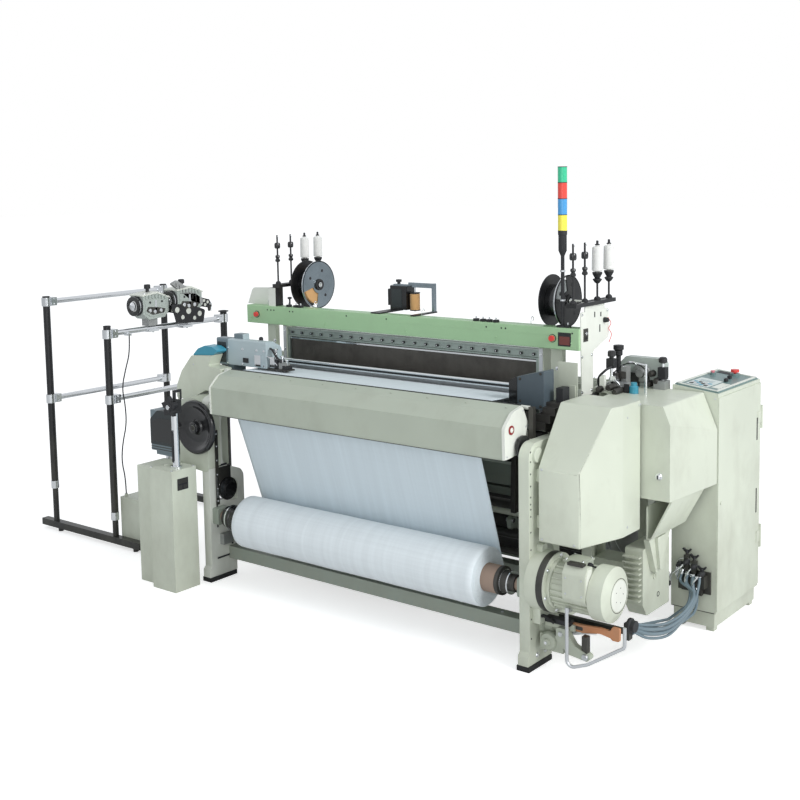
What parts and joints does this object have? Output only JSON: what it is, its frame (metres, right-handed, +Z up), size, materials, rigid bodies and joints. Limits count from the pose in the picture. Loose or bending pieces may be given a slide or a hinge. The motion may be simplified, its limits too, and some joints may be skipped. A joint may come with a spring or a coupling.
{
  "type": "power loom",
  "caption": "Rapier weaving loom with cloth roll, heald frames, reed, drive covers, control cabinet, signal tower and a free-standing weft stand with feeders.",
  "frame": {"origin": "on the floor in the middle of the whole machine, weft stand and cabinet included", "axes": "+X to the right of a weaver who faces the machine, +Y to the back, +Z up"},
  "size_m": [4.263, 1.8269, 2.2587],
  "materials": {
    "cream_paint": "satin enamel",
    "sage_paint": "satin enamel",
    "green_paint": "satin enamel",
    "slate_paint": "satin enamel",
    "black_paint": "semi-gloss",
    "bright_steel": "polished",
    "ground_steel": "ground",
    "aluminium": "cast and blasted",
    "rubber": "matt",
    "cloth": "plain weave",
    "brown_tube": "matt",
    "yarn": "wound yarn",
    "black_plastic": "moulded",
    "blue_plastic": "moulded",
    "hose": "smooth",
    "copper_paint": "satin",
    "red_plastic": "moulded",
    "pink_plastic": "moulded",
    "orange_plastic": "moulded",
    "lens_green": "ribbed lens",
    "lens_red": "ribbed lens",
    "lens_blue": "ribbed lens",
    "lens_yellow": "ribbed lens",
    "panel_paint": "satin"
  },
  "bodies": {
    "loom": {"back_rest": "ground_steel", "blue_cap": "blue_plastic", "breast_beam": "cream_paint", "breast_cover": "sage_paint", "cabinet": "cream_paint", "cloth": "cloth", "clutch_housing": "cream_paint", "control_panel": "panel_paint", "creel_cable": "black_plastic", "creel_frame": "black_paint", "creel_rails": "bright_steel", "cross_beams": "cream_paint", "drive_motor": "cream_paint", "fender_cover": "cream_paint", "foot_pads": "rubber", "front_drive_cover": "cream_paint", "guard_hoop": "bright_steel", "handwheel_housing": "cream_paint", "hoses": "hose", "left_boxes": "cream_paint", "left_side_frame": "cream_paint", "lens_blue": "lens_blue", "lens_green": "lens_green", "lens_red": "lens_red", "lens_yellow": "lens_yellow", "let_off_gearbox": "cream_paint", "rapier_housings": "slate_paint", "rear_drive_cover": "cream_paint", "right_side_frame": "cream_paint", "signal_pole": "black_plastic", "top_beam": "green_paint", "uprights": "cream_paint", "valve_block": "black_paint", "weft_feeders": "aluminium", "yarn_brackets": "cream_paint", "yarn_cones": "yarn", "yarn_stands": "black_paint"},
    "cloth_roll_body": {"cloth_roll": "cloth", "roll_core": "brown_tube"},
    "take_up": {"take_up_roller": "rubber"},
    "warp": {"warp_beam": "yarn"},
    "hand_wheel": {"handwheel": "black_plastic"},
    "sley_body": {"sley": "ground_steel", "reed": "bright_steel"},
    "healds_front": {"heald_frame_front": "aluminium"},
    "healds_rear": {"heald_frame_rear": "aluminium"},
    "lever": {"clutch_lever": "copper_paint"},
    "reel_left": {"left_reel": "slate_paint"},
    "reel_right": {"right_reel": "black_paint"},
    "door": {"cabinet_door": "cream_paint"},
    "stop_button": {"e_stop": "red_plastic"},
    "run_button": {"start_button": "pink_plastic"},
    "selector_1": {"selector_knob_1": "black_plastic"},
    "selector_2": {"selector_knob_2": "black_plastic"},
    "button_left": {"beam_button_left": "orange_plastic"},
    "button_right": {"beam_button_right": "orange_plastic"},
    "star_knob": {"clamp_knob": "black_plastic"},
    "valve_1": {"valve_handle_1": "black_plastic"},
    "valve_2": {"valve_handle_2": "black_plastic"},
    "valve_3": {"valve_handle_3": "black_plastic"}
  },
  "joints": [
    {"name": "cloth_roll_turn", "type": "hinge", "parent": "loom", "child": "cloth_roll_body", "pos_m": [0.6335, -0.6065, 0.372], "axis": [1, 0, 0], "continuous": true},
    {"name": "take_up_turn", "type": "hinge", "parent": "loom", "child": "take_up", "pos_m": [0.6335, -0.4365, 0.99], "axis": [1, 0, 0], "continuous": true},
    {"name": "warp_beam_turn", "type": "hinge", "parent": "loom", "child": "warp", "pos_m": [0.6335, 0.5835, 0.48], "axis": [1, 0, 0], "continuous": true},
    {"name": "handwheel_turn", "type": "hinge", "parent": "loom", "child": "hand_wheel", "pos_m": [-0.4965, -0.6965, 0.873], "axis": [0, 1, 0], "continuous": true},
    {"name": "sley_swing", "type": "hinge", "parent": "loom", "child": "sley_body", "pos_m": [0.6335, -0.1965, 0.6], "axis": [1, 0, 0], "range_deg": [-6, 0]},
    {"name": "heald_front_lift", "type": "slide", "parent": "loom", "child": "healds_front", "axis": [0, 0, 1], "range_m": [-0.035, 0.035]},
    {"name": "heald_rear_lift", "type": "slide", "parent": "loom", "child": "healds_rear", "axis": [0, 0, 1], "range_m": [-0.035, 0.035]},
    {"name": "clutch_lever_turn", "type": "hinge", "parent": "loom", "child": "lever", "pos_m": [1.8015, -0.5635, 0.215], "axis": [0, 1, 0], "range_deg": [0, 20]},
    {"name": "left_reel_turn", "type": "hinge", "parent": "loom", "child": "reel_left", "pos_m": [-0.3165, 0.0635, 1.608], "axis": [1, 0, 0], "continuous": true},
    {"name": "right_reel_turn", "type": "hinge", "parent": "loom", "child": "reel_right", "pos_m": [1.4135, -0.0165, 1.608], "axis": [1, 0, 0], "continuous": true},
    {"name": "door_swing", "type": "hinge", "parent": "loom", "child": "door", "pos_m": [2.1255, 0.7615, 0.64], "axis": [0, 0, 1], "range_deg": [0, 100]},
    {"name": "stop_press", "type": "slide", "parent": "loom", "child": "stop_button", "axis": [0, 0, -1], "range_m": [0, 0.004], "stiffness_N_per_m": 900},
    {"name": "start_press", "type": "slide", "parent": "loom", "child": "run_button", "axis": [0, 0, -1], "range_m": [0, 0.004], "stiffness_N_per_m": 700},
    {"name": "selector_1_turn", "type": "hinge", "parent": "loom", "child": "selector_1", "pos_m": [2.0315, 0.5735, 1.2], "axis": [0, 0, 1], "range_deg": [-45, 45]},
    {"name": "selector_2_turn", "type": "hinge", "parent": "loom", "child": "selector_2", "pos_m": [2.0475, 0.4935, 1.2], "axis": [0, 0, 1], "range_deg": [-45, 45]},
    {"name": "left_beam_press", "type": "slide", "parent": "loom", "child": "button_left", "axis": [0, 1, 0], "range_m": [0, 0.003], "stiffness_N_per_m": 700},
    {"name": "right_beam_press", "type": "slide", "parent": "loom", "child": "button_right", "axis": [0, 1, 0], "range_m": [0, 0.003], "stiffness_N_per_m": 700},
    {"name": "star_knob_turn", "type": "hinge", "parent": "loom", "child": "star_knob", "pos_m": [-0.5165, -0.8565, 1.01], "axis": [0, 1, 0], "continuous": true},
    {"name": "valve_1_turn", "type": "hinge", "parent": "loom", "child": "valve_1", "pos_m": [1.9795, 0.2115, 0.396], "axis": [0, 0, 1], "range_deg": [0, 90]},
    {"name": "valve_2_turn", "type": "hinge", "parent": "loom", "child": "valve_2", "pos_m": [2.0175, 0.2115, 0.372], "axis": [0, 0, 1], "range_deg": [0, 90]},
    {"name": "valve_3_turn", "type": "hinge", "parent": "loom", "child": "valve_3", "pos_m": [2.0575, 0.2115, 0.32], "axis": [0, 0, 1], "range_deg": [0, 90]}
  ],
  "couplings": [
    {"joint": "cloth_roll_turn", "follows": "warp_beam_turn", "ratio": -2.0357},
    {"joint": "take_up_turn", "follows": "warp_beam_turn", "ratio": -4.75},
    {"joint": "heald_rear_lift", "follows": "heald_front_lift", "ratio": -1}
  ]
}
